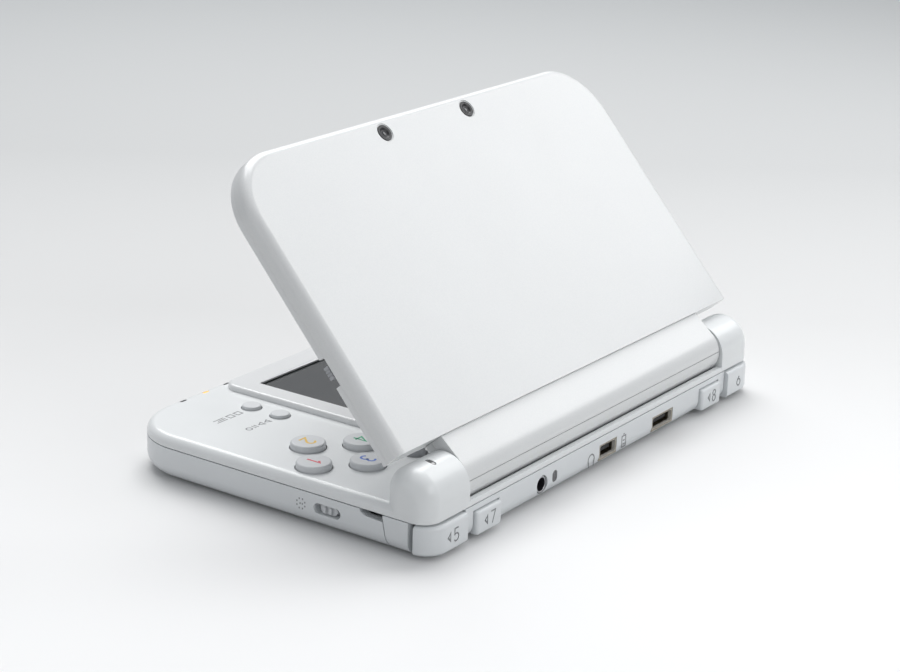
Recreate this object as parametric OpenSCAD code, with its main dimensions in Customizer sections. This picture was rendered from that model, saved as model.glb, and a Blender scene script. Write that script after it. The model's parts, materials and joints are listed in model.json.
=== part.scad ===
// Clamshell handheld game console with two screens, lid stored half open.
// X runs to the device's right, Y to its hinge, Z up. Millimetres.

/* [Body] */
// Width of the base and of the lid
body_w = 160; // [158:1:200]
// Depth of the base from its front to its back
body_d = 100; // [96:1:122]
// Height of the closed console over the lid plate
closed_h = 21.5; // [21:0.1:24]
// Height of the deck that carries the controls
deck_z = 12.5; // [12.3:0.1:13]
// Height of the seam between the lower shell and the upper case
seam_z = 9.5; // [9.3:0.1:9.8]
// How far the rubber feet lift the shell
foot_h = 0.6; // [0.4:0.1:0.9]
// Radius of the two front corners in plan
front_r = 17.5; // [8:0.5:18]
// Radius of the two rear corners in plan and of the ears' outer edges
rear_r = 5; // [3:0.5:5.5]
// Rounding of the deck's outer edge
deck_edge_r = 2.5; // [1:0.1:2.7]
// Rounding of the base's bottom edge
bottom_edge_r = 4; // [1:0.5:4.5]
// Thickness of the bottom cover's walls and floor
cover_skin = 1.2; // [1:0.1:1.4]
// Thickness of the inner tray
tray_skin = 0.9; // [0.7:0.1:1.2]
// Thickness of the upper case's side walls
case_skin = 1.8; // [1.6:0.1:2.2]
// Thickness of the deck
deck_t = 1.5; // [1.3:0.1:1.6]

/* [Hinge] */
// How far the lid stands open at rest, from closed
lid_open = 48.7; // [0:0.1:110]
// Distance of the hinge axis from the back
hinge_back = 7.6; // [7.4:0.1:8]
// Height of the hinge axis
hinge_z = 15.2; // [15:0.1:16]
// Radius of the ears' rounded tops
ear_r = 8; // [7.5:0.1:8.2]
// Height of the centre of the ears' rounded tops
ear_z = 14.2; // [13.5:0.1:14.5]
// Radius of the ears' front edges
ear_front_r = 6; // [5.5:0.1:7]
// Distance of the ears' inner faces from the middle
ear_inner = 62.8; // [58:0.1:64]
// Radius of the lid's hinge barrel
barrel_r = 6.7; // [6:0.1:6.8]
// Gap around the barrel in its trough and at the ears
barrel_gap = 0.6; // [0.5:0.1:0.7]
// Radius of the hinge shafts
shaft_r = 2; // [1.6:0.1:2.4]
// Radius of the clutch and of the bearing in the barrel
clutch_r = 3.6; // [3:0.1:4]

/* [Lid] */
// Thickness of the lid
lid_t = 6.9; // [6.5:0.1:7]
// Thickness of the lid's outer cover down to its seam
lid_cover_t = 4.6; // [4.2:0.1:5]
// Distance of the lid plate's lower edge from the hinge axis
lid_root = 9; // [9:0.1:10]
// Radius of the lid's two free corners
lid_corner_r = 17; // [6:0.5:18]
// Rounding of the lid's outer edge
lid_edge_r = 2.4; // [1:0.1:3]
// Wall of the lid's two halves
lid_skin = 1.2; // [1:0.1:1.4]
// Distance of each outer camera from the middle
camera_x = 18.6; // [14:0.1:24]
// Radius of the outer camera lenses
camera_r = 2.3; // [1.8:0.1:2.6]

/* [Screens] */
// Width of the lower screen's picture
low_screen_w = 74; // [66:1:75]
// Depth of the lower screen's picture
low_screen_d = 55.5; // [48:0.5:56]
// Border of the raised frame beside the lower screen
frame_side = 6.5; // [5:0.5:7]
// Border of the raised frame in front of the lower screen
frame_front = 8.5; // [8:0.1:9]
// Height of the raised frame over the deck
frame_h = 1.5; // [1.2:0.1:1.6]
// Width of the upper screen's window
top_screen_w = 110; // [90:1:112]
// Height of the upper screen's window
top_screen_h = 66; // [54:1:66]

/* [Controls] */
// Radius of the four action buttons
action_r = 4.6; // [3.8:0.1:4.8]
// Distance of each action button from the middle of the four
action_pitch = 9.6; // [9.2:0.1:10.5]
// How far the action buttons stand over the deck
action_h = 1.7; // [1.2:0.1:1.8]
// Travel of the action buttons
action_travel = 0.7; // [0.4:0.1:0.8]
// Radius of the two small deck buttons
small_r = 2.6; // [2.2:0.1:3]
// Travel of the small buttons
small_travel = 0.4; // [0.2:0.1:0.5]
// Radius of the circle pad's cap
pad_r = 8; // [7:0.1:8.2]
// Travel of the circle pad each way along X and along Y
pad_travel = 3; // [2:0.1:3.2]
// Length of the direction pad across its arms
cross_l = 20; // [17:0.5:21]
// Width of the direction pad's arms
cross_w = 6.8; // [6:0.1:7.5]
// Radius of the pointing stick
stick_r = 2.6; // [2:0.1:3]
// How far the shoulder and trigger buttons stand out at the back
trigger_proud = 1.2; // [0.8:0.1:1.6]
// Width of each inner trigger button
trigger_w = 10.7; // [9:0.1:11.5]
// Radius of the stylus
stylus_r = 2.1; // [1.8:0.1:2.2]
// Length of the stylus
stylus_l = 80; // [60:1:82]

/* [Ports] */
// Radius of the audio jack's bore
jack_r = 1.8; // [1.7:0.01:1.85]
// Height of the middle of the ports
port_z = 4.9; // [4.9:0.05:5]
// Width of the charging port
charge_w = 8.8; // [7:0.1:10]
// Width of the accessory port
accessory_w = 11.2; // [9:0.1:13]
// Width of the game card
card_w = 35.4; // [32:0.1:36]
// Height of the game card's slot
card_h = 4.2; // [4.1:0.05:4.3]

/* [Fits] */
// Width of the visible seams
seam_gap = 0.3; // [0.2:0.05:0.4]
// Clearance around pieces that move
move_gap = 0.3; // [0.2:0.05:0.4]
// Radial clearance of the running fits
running_gap = 0.05; // [0.02:0.01:0.08]

/* [Hidden] */
$fn = 48;
eps = 0.01;
big = 300;
half_w = body_w / 2;

// The hinge axis, and the frame whose origin is the middle of the object's base at rest
front_y = -(body_d + trigger_proud) / 2;
hinge_y = body_d - hinge_back;

// Heights inside the base
shell_h = seam_z - seam_gap / 2 - foot_h;
case_z = seam_z + seam_gap / 2;
floor_z = foot_h + cover_skin - 0.1;
tray_z = floor_z + 1;
deck_low = deck_z - deck_t;
board_t = 1;
board_z = tray_z + 1;
button_board_z = tray_z + 4.2;
button_board_top = button_board_z + board_t;
flange_top = deck_low - 0.1;
flange_t = 0.9;
flange_w = 0.7;

// Walls of the base, measured inwards from the outside
tray_out = cover_skin + 0.15;
tray_in = tray_out + tray_skin;
tray_edge_r = max(bottom_edge_r - cover_skin - 0.8, 0.2);

// The line where the bottom cover ends and the rear housing begins
parting_top = body_d - 14.2;
parting_low = body_d - 12;

// The trough that the barrel turns in
trough_r = barrel_r + barrel_gap;
trough_wall = 0.7;
ledge_z = hinge_z - 4.2;
barrel_half = ear_inner - 0.4;
cable_r = 1;

// The lid, measured from the hinge axis with the lid closed
lid_top = closed_h - hinge_z;
lid_low = lid_top - lid_t;
lid_seam = lid_top - lid_cover_t;
lid_reach = hinge_y;
lid_in = 1.6;

// Controls on the deck
action_x = half_w - 17.4;
action_y = body_d - 41;
small_x = half_w - 30.2;
select_y = body_d - 80.3;
start_y = body_d - 70.5;
pad_x = -(half_w - 17.4);
pad_y = body_d - 38;
pad_hole_r = 2.6 + pad_travel * sqrt(2) + move_gap;
pad_dish_r = pad_r + pad_travel * sqrt(2) + 0.5;
pad_cap_z = deck_low + 1;
slide_z = deck_low - 1.5;
cross_x = pad_x;
cross_y = body_d - 66;
stick_x = half_w - 31.4;
stick_y = body_d - 27;

// The raised frame and the lower screen
frame_y = 3.2;
frame_w = low_screen_w + 2 * frame_side;
screen_y = frame_y + frame_front;
frame_d = frame_front + low_screen_d + 8.5;
touch_w = low_screen_w + 4;
touch_d = low_screen_d + 3;
touch_y = screen_y - 1.2;
touch_t = 0.8;
home_y = frame_y + frame_front / 2;
home_w = 13;
home_d = 4;

// Back of the base
shoulder_x = half_w - 15.1;
shoulder_wrap = 4.6;
shoulder_low = foot_h + 0.7;
shoulder_high = seam_z - 0.5;
pin_x = shoulder_x + 2.1;
pin_y = body_d - 6.6;
pin_r = 0.75;
trigger_x = half_w - 24.4;
trigger_low = foot_h + 0.8;
trigger_high = seam_z - 1.9;
trigger_travel = 0.8;
jack_x = 30.5;
jack_l = 11.6;
window_x = 24.6;
charge_x = -1.4;
charge_d = 6.5;
accessory_x = -29.9;
accessory_h = 4.2;
port_h = 2 * (port_z - tray_z);
port_wall = 0.5;

// Front and side of the base
card_x = -(half_w - 52);
card_floor = 2;
card_top = tray_z + card_floor + card_h;
card_d = 31;
power_x = half_w - 23;
power_z = tray_z + 2.7;
stylus_x = half_w - 40;
stylus_z = tray_z + 2.6;
stylus_front = 0.2;
sleeve_r = 2.6;
switch_y = body_d - 30.6;
switch_z = seam_z - 3.6;
switch_l = 8.4;
switch_h = 2.8;

// Fasteners
post_x = half_w - 8;
post_front = 13;
post_rear = body_d - 19;
cover_screw_x = half_w - 30;
cover_screw_y = 9;
post_joint = 6.2;
post_r = 2.6;
screw_seat = tray_z + 0.6;
cover_seat = foot_h + 0.6;
pin_low = foot_h + 1;
board_x = [-(half_w - 4), stylus_x - 4];
// the main board starts behind the direction pad's board and the card slot
board_y = [max(cross_y + 3, card_d + 6), body_d - 15];
can_x = [-14, 18];
can_y = [board_y[0] + 7, board_y[0] + 37];
can_wall = 0.3;
can_h = 1.9;
board_post_at = [
    [board_x[0] + 6, board_y[0] + 4],
    [-20, board_y[0] + 6],
    [board_x[1] - 5, board_y[0] + 4],
    [board_x[1] - 5, board_y[1] - 6],
    [-38, board_y[1] - 5]
];
right_board_x = [half_w - 36.5, half_w - 4.5];
right_board_y = [18, body_d - 22];
left_board_x = [-(half_w - 4.5), -(half_w - 31.5)];
left_board_y = [cross_y - 13, cross_y + 12];
button_post_at = [
    [right_board_x[1] - 2, right_board_y[0] + 4],
    [right_board_x[1] - 2, right_board_y[1] - 12],
    [right_board_x[0] + 3, right_board_y[1] - 6],
    [left_board_x[0] + 3.5, left_board_y[0] + 5],
    [left_board_x[1] - 4.5, left_board_y[0] + 5],
    [-5, home_y],
    [5, home_y]
];
battery_x = [half_w - 35, half_w - 11];
battery_y = [17, body_d - 38];

// Lid furniture, as distances from the hinge axis along the lid
screen_low = 16;
glass_edge = 1.5;
glass_t = 0.75;
camera_s = lid_reach - 4.9;
slider_s = 35;
slider_l = 8;
slider_d = 3;
bumper_x = half_w - 10;
bumper_s = [14, lid_reach - 6.9];
bumper_r = 1.8;
bumper_h = 1.7;
speaker_x = 69;
speaker_s = 49;

// ---------------------------------------------------------------- shapes

// Places what is drawn from the middle of the base's front edge
module base_part() {
    translate([0, front_y, 0]) children();
}

// Places what is drawn closed and from the hinge axis, with the front towards -Y
module lid_part() {
    base_part() translate([0, hinge_y, hinge_z]) rotate([-lid_open, 0, 0]) children();
}

// Repeats its children on the left
module both_sides() {
    children();
    mirror([1, 0, 0]) children();
}

// Half section of a plate: r wide from its inner end, h high, rounded at its outer corners
module rounded_end(r, h, top_r, bottom_r) {
    translate([0, bottom_r]) square([r, h - top_r - bottom_r]);
    if (top_r > 0) {
        translate([0, h - top_r]) square([r - top_r, top_r]);
        translate([r - top_r, h - top_r]) intersection() {
            circle(top_r);
            square(top_r);
        }
    }
    if (bottom_r > 0) {
        square([r - bottom_r, bottom_r]);
        translate([r - bottom_r, bottom_r]) intersection() {
            circle(bottom_r);
            translate([0, -bottom_r]) square(bottom_r);
        }
    }
}

// The half section drawn out along Y
module edge_bar(length, r, h, top_r, bottom_r) {
    translate([0, length, 0]) rotate([90, 0, 0]) linear_extrude(length)
        rounded_end(r, h, top_r, bottom_r);
}

// A plate centred on X with its front at y = 0, with round corners and rounded edges
module slab(w, d, h, corner_front, corner_rear, top_r = 0, bottom_r = 0) {
    span_front = w - 2 * corner_front;
    span_rear = w - 2 * corner_rear;
    side = d - corner_front - corner_rear;
    translate([-span_front / 2, corner_front, 0]) cube([span_front, side, h]);
    both_sides() {
        translate([span_front / 2, corner_front, 0])
            edge_bar(side, corner_front, h, top_r, bottom_r);
        translate([span_front / 2, corner_front, 0]) rotate([0, 0, -90])
            rotate_extrude(angle = 90) rounded_end(corner_front, h, top_r, bottom_r);
        translate([span_rear / 2, d - corner_rear, 0])
            rotate_extrude(angle = 90) rounded_end(corner_rear, h, top_r, bottom_r);
    }
    translate([-span_front / 2, corner_front, 0]) rotate([0, 0, -90])
        edge_bar(span_front, corner_front, h, top_r, bottom_r);
    translate([span_rear / 2, d - corner_rear, 0]) rotate([0, 0, 90])
        edge_bar(span_rear, corner_rear, h, top_r, bottom_r);
}

// The base's outline, drawn in by inset from its outside
module base_slab(inset, z, h, top_r = 0, bottom_r = 0) {
    translate([0, inset, z])
        slab(body_w - 2 * inset, body_d - 2 * inset, h, front_r - inset, rear_r - inset,
             top_r, bottom_r);
}

// A box given by its ranges
module block(x, y, z) {
    translate([x[0], y[0], z[0]]) cube([x[1] - x[0], y[1] - y[0], z[1] - z[0]]);
}

// A rod along Z, along Y or along X from one end to the other
module rod_z(r, x, y, z) {
    translate([x, y, z[0]]) cylinder(r = r, h = z[1] - z[0]);
}

module rod_y(r, x, y, z) {
    translate([x, y[1], z]) rotate([90, 0, 0]) cylinder(r = r, h = y[1] - y[0]);
}

module rod_x(r, x, y, z) {
    translate([x[0], y, z]) rotate([0, 90, 0]) cylinder(r = r, h = x[1] - x[0]);
}

// An outline in the Y-Z plane drawn out along X
module section_x(x) {
    translate([x[0], 0, 0]) rotate([90, 0, 90]) linear_extrude(x[1] - x[0]) children();
}

// A round-ended outline, centred, longer along X
module pill(w, d) {
    translate([-(w - d) / 2, -d / 2]) square([w - d, d]);
    both_ends(w, d) circle(d / 2);
}

module both_ends(w, d) {
    for (side = [-1, 1]) {
        translate([side * (w - d) / 2, 0]) children();
    }
}

// A round deck button: cap with a rounded rim, and a flange that holds it under the deck
module deck_button(x, y, r, top, rim) {
    translate([x, y, 0]) {
        translate([0, 0, flange_top]) rotate_extrude()
            rounded_end(r, top - flange_top, rim, 0);
        translate([0, 0, flange_top - flange_t]) cylinder(r = r + flange_w, h = flange_t);
    }
}

// ---------------------------------------------------------------- base shells

// Everything behind the parting line, moved back by gap
module behind_parting(gap) {
    section_x([-half_w - 1, half_w + 1]) polygon([
        [parting_low + gap, foot_h - 1],
        [parting_top + gap, seam_z + 1],
        [body_d + 5, seam_z + 1],
        [body_d + 5, foot_h - 1]
    ]);
}

// Openings in the front wall, shared by the cover and the tray behind it; the card slot is a
// notch from the seam, which the upper case's lip closes from above
module front_openings() {
    block([card_x - card_w / 2, card_x + card_w / 2], [-1, 5],
          [tray_z + card_floor, seam_z + 1]);
    rod_y(stylus_r + move_gap, stylus_x, [-1, 5], stylus_z);
    translate([power_x, 5, power_z]) rotate([90, 0, 0]) linear_extrude(6)
        pill(7 + 2 * move_gap, 2.6 + 2 * move_gap);
}

// Opening in the right wall for the slide switch
module switch_opening() {
    translate([half_w - 4, switch_y, switch_z]) rotate([90, 0, 90]) linear_extrude(6)
        pill(switch_l, switch_h);
}

module bottom_cover() {
    color([0.93, 0.94, 0.95]) base_part() difference() {
        base_slab(0, foot_h, shell_h, 0, bottom_edge_r);
        base_slab(cover_skin, floor_z, shell_h, 0, tray_edge_r);
        behind_parting(0);
        front_openings();
        switch_opening();
        strap_recess();
        foot_places() cylinder(r = 3, h = foot_h + 0.3);
        cover_screw_places() {
            cylinder(r = 1.05, h = 5);
            cylinder(r = 1.9, h = foot_h + 0.6);
        }
    }
}

module foot_places() {
    for (y = [17, body_d - 21]) {
        both_sides() translate([half_w - 16, y, 0]) children();
    }
}

module rubber_feet() {
    color([0.78, 0.79, 0.8]) base_part() foot_places() cylinder(r = 2.9, h = foot_h + 0.3);
}

module cover_screw_places() {
    both_sides() translate([cover_screw_x, cover_screw_y, 0]) children();
}

module post_places() {
    for (y = [post_front, post_rear]) {
        both_sides() translate([post_x, y, 0]) children();
    }
}

// The pocket of a corner shoulder button, and the slot of an inner trigger button
module shoulder_pocket() {
    block([shoulder_x - 0.4, half_w + 1], [body_d - shoulder_wrap - 1.4, body_d + 3],
          [shoulder_low - 0.25, seam_z + 1]);
    block([shoulder_x - 0.4, pin_x + 2.6], [pin_y - 2.6, body_d], [tray_z, seam_z + 1]);
}

module trigger_slot() {
    block([trigger_x - trigger_w / 2 - move_gap, trigger_x + trigger_w / 2 + move_gap],
          [body_d - tray_in - 1.3 - trigger_travel, body_d + 3],
          [trigger_low - move_gap, trigger_high + move_gap]);
}

// Openings in the rear wall for the ports
module port_openings() {
    rod_y(2.5, jack_x, [body_d - 5, body_d + 1], port_z);
    block([charge_x - charge_w / 2, charge_x + charge_w / 2],
          [body_d - 5, body_d + 1], [port_z - port_h / 2, port_z + port_h / 2]);
    block([accessory_x - accessory_w / 2, accessory_x + accessory_w / 2],
          [body_d - 5, body_d + 1], [tray_z, tray_z + accessory_h]);
    window_outline(body_d - 5, 6, 0);
}

module window_outline(y, length, shrink) {
    translate([window_x, y + length, port_z + 0.5]) rotate([90, 0, 0]) rotate([0, 0, 90])
        linear_extrude(length) pill(3.3 - 2 * shrink, 2.3 - 2 * shrink);
}

// Where the main board and the button boards stand
module board_posts() {
    for (at = board_post_at) {
        translate([at[0], at[1], floor_z]) cylinder(r = 2, h = board_z - floor_z);
    }
}

module button_board_posts() {
    for (at = button_post_at) {
        translate([at[0], at[1], floor_z]) cylinder(r = 1.5, h = button_board_z - floor_z);
    }
}

// Recess for a wrist strap under the seam on the right side
module strap_recess() {
    section_x([half_w - 3.2, half_w + 1]) polygon([
        [parting_top - 6.8, seam_z + 1],
        [parting_top - 6.2, seam_z - 0.9],
        [parting_top - 4.6, seam_z - 1.6],
        [parting_top + 0.6, seam_z - 1.9],
        [parting_top + 0.6, seam_z + 1]
    ]);
}

module shoulder_pin_places() {
    both_sides() translate([pin_x, pin_y, 0]) children();
}

module lower_case() {
    color([0.92, 0.93, 0.94]) base_part() difference() {
        union() {
            difference() {
                union() {
                    intersection() {
                        base_slab(0, foot_h, shell_h, 0, bottom_edge_r);
                        behind_parting(seam_gap);
                    }
                    base_slab(tray_out, floor_z, case_z - floor_z, 0, tray_edge_r);
                }
                base_slab(tray_in, tray_z, shell_h);
                block([battery_x[0] - move_gap, battery_x[1] + move_gap],
                      [battery_y[0] - move_gap, battery_y[1] + move_gap], [0, tray_z + 1]);
            }
            post_places() translate([0, 0, floor_z]) cylinder(r = post_r, h = post_joint - floor_z);
            cover_screw_places() translate([0, 0, floor_z]) cylinder(r = 2.4, h = 4);
            board_posts();
            button_board_posts();
        }
        front_openings();
        switch_opening();
        port_openings();
        both_sides() {
            shoulder_pocket();
            trigger_slot();
        }
        strap_recess();
        shoulder_pin_places() translate([0, 0, pin_low]) cylinder(r = pin_r + 0.01, h = 5);
        post_places() {
            cylinder(r = 1, h = 8);
            cylinder(r = 1.8, h = screw_seat);
        }
        cover_screw_places() cylinder(r = 0.9, h = 7);
        rod_x(trough_r + trough_wall + 0.1, [-ear_inner - 1.1, ear_inner + 1.1],
              hinge_y, hinge_z);
    }
}

// An ear: a block with a round top, tighter at the front, and a rounded outer end
module ear() {
    w = half_w - ear_inner;
    front_z = ear_z + ear_r - ear_front_r;
    translate([ear_inner, body_d - ear_r - ear_front_r, case_z]) {
        linear_extrude(ear_z - case_z) rounded_end(w, ear_r + ear_front_r, rear_r, rear_r);
        linear_extrude(front_z - case_z) rounded_end(w, ear_front_r, 0, rear_r);
    }
    translate([ear_inner, body_d - ear_r, ear_z]) rotate([90, 0, 90])
        rotate_extrude(angle = 90) rounded_end(ear_r, w, rear_r, 0);
    translate([ear_inner, body_d - ear_r, front_z]) rotate([90, 0, 90]) rotate([0, 0, 90])
        rotate_extrude(angle = 90) rounded_end(ear_front_r, w, rear_r, 0);
}

// The cross-shaped outline of the direction pad, larger all round by grow
module cross_outline(grow) {
    l = cross_l + 2 * grow;
    w = cross_w + 2 * grow;
    square([l, w], center = true);
    square([w, l], center = true);
}

module light_places() {
    for (x = [-22.5, -31.5, -40]) {
        translate([half_w + x, 2.2, 0]) children();
    }
}

module ear_light_outline() {
    translate([half_w - 9.7, hinge_y + 1, 0]) rotate([0, 0, 90]) pill(3, 1.5);
}

module deck_holes() {
    translate([action_x, action_y, 0]) {
        for (turn = [0:90:270]) {
            rotate([0, 0, turn]) translate([action_pitch, 0, deck_low - 1])
                cylinder(r = action_r + move_gap, h = 4);
        }
    }
    for (y = [select_y, start_y]) {
        rod_z(small_r + move_gap, small_x, y, [deck_low - 1, deck_z + 1]);
    }
    rod_z(stick_r + 0.8, stick_x, stick_y, [deck_low - 1, deck_z + 1]);
    rod_z(pad_hole_r, pad_x, pad_y, [deck_low - 1, deck_z + 1]);
    rod_z(pad_dish_r, pad_x, pad_y, [deck_low + 0.7, deck_z + 1]);
    translate([cross_x, cross_y, deck_low - 1]) linear_extrude(4) cross_outline(0.45);
    block([-low_screen_w / 2, low_screen_w / 2], [screen_y, screen_y + low_screen_d],
          [deck_low - 1, deck_z + 1]);
    translate([0, home_y, deck_low - 1]) linear_extrude(4)
        pill(home_w + 2 * move_gap, home_d + 2 * move_gap);
    light_places() translate([0, 0, deck_low - 1]) linear_extrude(4) pill(2.4, 1);
}

module upper_case() {
    color([0.94, 0.95, 0.96]) base_part() difference() {
        union() {
            difference() {
                base_slab(0, case_z, deck_z - case_z, deck_edge_r, 0);
                base_slab(case_skin, case_z - 1, deck_low - case_z + 1);
            }
            both_sides() {
                ear();
            }
            post_places() translate([0, 0, post_joint])
                cylinder(r = post_r, h = deck_low - post_joint + 0.5);
            // the lip over the card slot
            block([card_x - (card_w - seam_gap) / 2, card_x + (card_w - seam_gap) / 2], [0, tray_in],
                  [card_top, case_z + 0.1]);
            // the outside of the trough under the barrel, with its end walls
            intersection() {
                rod_x(trough_r + trough_wall, [-ear_inner - 1, ear_inner + 1], hinge_y, hinge_z);
                block([-half_w, half_w], [0, body_d - 0.5], [0, deck_low + 0.2]);
            }
        }
        rod_x(trough_r, [-ear_inner, ear_inner], hinge_y, hinge_z);
        block([-ear_inner, ear_inner], [hinge_y, body_d + 1], [ledge_z, deck_z + 1]);
        deck_holes();
        both_sides() {
            rod_x(shaft_r + 0.02, [ear_inner - 1, half_w - 9], hinge_y, hinge_z);
        }
        post_places() cylinder(r = 0.9, h = deck_low - 1);
        translate([0, 0, ear_z + ear_r - 1.6]) linear_extrude(4) ear_light_outline();
        shoulder_pin_places() cylinder(r = pin_r + 0.01, h = case_z + 1);
    }
}

module ear_light() {
    color([0.25, 0.25, 0.26]) base_part() intersection() {
        translate([0, 0, ear_z + ear_r - 1.6]) linear_extrude(4) ear_light_outline();
        rod_x(ear_r - 0.15, [ear_inner, half_w], body_d - ear_r, ear_z);
    }
}

module status_lights() {
    color([0.95, 0.6, 0.1]) base_part() intersection() {
        light_places() translate([0, 0, deck_low - 0.4]) linear_extrude(4) pill(2.2, 0.8);
        base_slab(0.15, case_z, deck_z - case_z - 0.1, deck_edge_r - 0.1, 0);
    }
}

module base_screws() {
    color([0.55, 0.56, 0.58]) base_part() {
        post_places() {
            translate([0, 0, screw_seat]) cylinder(r = 0.85, h = 6.5);
            screw_head(screw_seat, 0.9);
        }
        cover_screw_places() {
            translate([0, 0, cover_seat]) cylinder(r = 0.85, h = 4);
            screw_head(cover_seat, 0.45);
        }
    }
}

// A screw head under height z, with a cross recess in it
module screw_head(z, h) {
    translate([0, 0, z - h]) difference() {
        cylinder(r = 1.6, h = h);
        for (turn = [0, 90]) {
            rotate([0, 0, turn]) translate([-0.9, -0.2, -1]) cube([1.8, 0.4, 1.3]);
        }
    }
}

// ---------------------------------------------------------------- lower screen and boards

module touch_frame() {
    color([0.95, 0.96, 0.97]) base_part() difference() {
        translate([0, frame_y, deck_z]) slab(frame_w, frame_d, frame_h, 5, 5, 1.1, 0);
        block([-low_screen_w / 2, low_screen_w / 2], [screen_y, screen_y + low_screen_d],
              [deck_z - 1, deck_z + 5]);
        block([-touch_w / 2 - 0.2, touch_w / 2 + 0.2], [touch_y - 0.2, touch_y + touch_d + 0.2],
              [deck_z - 1, deck_z + touch_t + 0.1]);
        translate([0, home_y, deck_z - 1]) linear_extrude(4)
            pill(home_w + 2 * move_gap, home_d + 2 * move_gap);
    }
}

module touch_panel() {
    color([0.3, 0.32, 0.34]) base_part()
        block([-touch_w / 2, touch_w / 2], [touch_y, touch_y + touch_d],
              [deck_z, deck_z + touch_t]);
}

module lower_display() {
    color([0.12, 0.13, 0.14]) base_part()
        block([-touch_w / 2, touch_w / 2], [touch_y, touch_y + touch_d],
              [deck_low - 1.6, deck_low]);
}

module main_board() {
    color([0.1, 0.4, 0.25]) base_part() difference() {
        block(board_x, board_y, [board_z, board_z + board_t]);
        // the corner is left free for a case post
        block([-half_w, -(post_x - 3.5)], [post_rear - 3.5, body_d], [board_z - 1, board_z + 2]);
    }
}

module shield_can() {
    color([0.75, 0.76, 0.78]) base_part() difference() {
        block(can_x, can_y, [board_z + board_t, board_z + board_t + can_h]);
        block([can_x[0] + can_wall, can_x[1] - can_wall], [can_y[0] + can_wall, can_y[1] - can_wall],
              [board_z, board_z + board_t + can_h - can_wall]);
    }
}

module battery() {
    color([0.2, 0.21, 0.24]) base_part() block(battery_x, battery_y, [floor_z, floor_z + 4.6]);
}

// One board under the right controls, one under the direction pad and one under the home button
module button_boards() {
    color([0.1, 0.4, 0.25]) base_part() {
        block(right_board_x, right_board_y, [button_board_z, button_board_top]);
        block(left_board_x, left_board_y, [button_board_z, button_board_top]);
        block([-7.5, 7.5], [home_y - 2.5, home_y + 2.5], [button_board_z, button_board_top]);
    }
}

// Half the side of the mat's square under the action buttons
mat_half = action_pitch + 2.6;

// Rubber mat with a dome under each button, clear of the flanges at full travel
module button_mat() {
    color([0.75, 0.76, 0.75]) base_part() {
        block([action_x - mat_half, action_x + mat_half], [action_y - mat_half, action_y + mat_half],
              [button_board_top, button_board_top + 0.5]);
        translate([action_x, action_y, 0]) {
            for (turn = [0:90:270]) {
                rotate([0, 0, turn])
                    rod_z(2.5, action_pitch, 0, [button_board_top, dome_top(action_travel)]);
            }
        }
        block([small_x - 5, small_x + 5], [select_y - 4, start_y + 4],
              [button_board_top, button_board_top + 0.5]);
        for (y = [select_y, start_y]) {
            rod_z(2, small_x, y, [button_board_top, dome_top(small_travel)]);
        }
        rod_z(2, 0, home_y, [button_board_top, dome_top(small_travel)]);
    }
}

// Height of a dome that a button reaches at the end of its travel
function dome_top(travel) = flange_top - flange_t - travel - 0.1;

// ---------------------------------------------------------------- controls

module action_button(turn) {
    color([0.93, 0.93, 0.94]) base_part()
        deck_button(action_x + action_pitch * cos(turn), action_y + action_pitch * sin(turn),
                    action_r, deck_z + action_h, 0.6);
}

module action_button_right() { action_button(0); }
module action_button_back() { action_button(90); }
module action_button_left() { action_button(180); }
module action_button_front() { action_button(270); }

module select_button() {
    color([0.93, 0.93, 0.94]) base_part()
        deck_button(small_x, select_y, small_r, deck_z + 0.9, 0.5);
}

module start_button() {
    color([0.93, 0.93, 0.94]) base_part()
        deck_button(small_x, start_y, small_r, deck_z + 0.9, 0.5);
}

module home_button() {
    color([0.9, 0.91, 0.92]) base_part() translate([0, home_y, 0]) {
        translate([0, 0, flange_top]) linear_extrude(deck_z + frame_h + 0.2 - flange_top)
            pill(home_w, home_d);
        translate([0, 0, flange_top - flange_t]) linear_extrude(flange_t)
            pill(home_w + 1.4, home_d + 1);
    }
}

module power_button() {
    color([0.9, 0.91, 0.92]) base_part() translate([power_x, 0, power_z]) rotate([-90, 0, 0]) {
        translate([0, 0, 0.1]) linear_extrude(tray_in + 0.2) pill(7, 2.6);
        translate([0, 0, tray_in + 0.1]) linear_extrude(0.8) pill(8.6, 4);
    }
}

module circle_pad() {
    color([0.85, 0.86, 0.87]) base_part() translate([pad_x, pad_y, 0]) {
        difference() {
            translate([0, 0, pad_cap_z]) rotate_extrude()
                rounded_end(pad_r, deck_z + 1.7 - pad_cap_z, 0.8, 0.3);
            translate([0, 0, deck_z + 1.2 + 20]) sphere(r = 20, $fn = 96);
        }
        rod_z(2.6, 0, 0, [slide_z - 0.6, pad_cap_z + 0.5]);
        rod_z(4.2, 0, 0, [slide_z - 1.1, slide_z - 0.3]);
    }
}

// Plate that carries the circle pad along X and guides it along Y
module circle_pad_slide() {
    slot_y = 2.6 + pad_travel + move_gap;
    color([0.8, 0.81, 0.82]) base_part() translate([pad_x, pad_y, slide_z]) difference() {
        translate([-10, -11.9, 0]) cube([20, 23.8, 1]);
        translate([-2.85, -slot_y, -1]) cube([5.7, 2 * slot_y, 3]);
    }
}

module circle_pad_housing() {
    base_top = slide_z - 1.6;
    color([0.15, 0.15, 0.16]) base_part() translate([pad_x, pad_y, 0]) {
        block([-13.4, 13.4], [-13.4, 13.4], [board_z + board_t, base_top]);
        for (side = [-1, 1]) {
            translate([-13.4, side * 12.7 - 0.7, base_top]) cube([26.8, 1.4, 2.9]);
        }
    }
}

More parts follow.
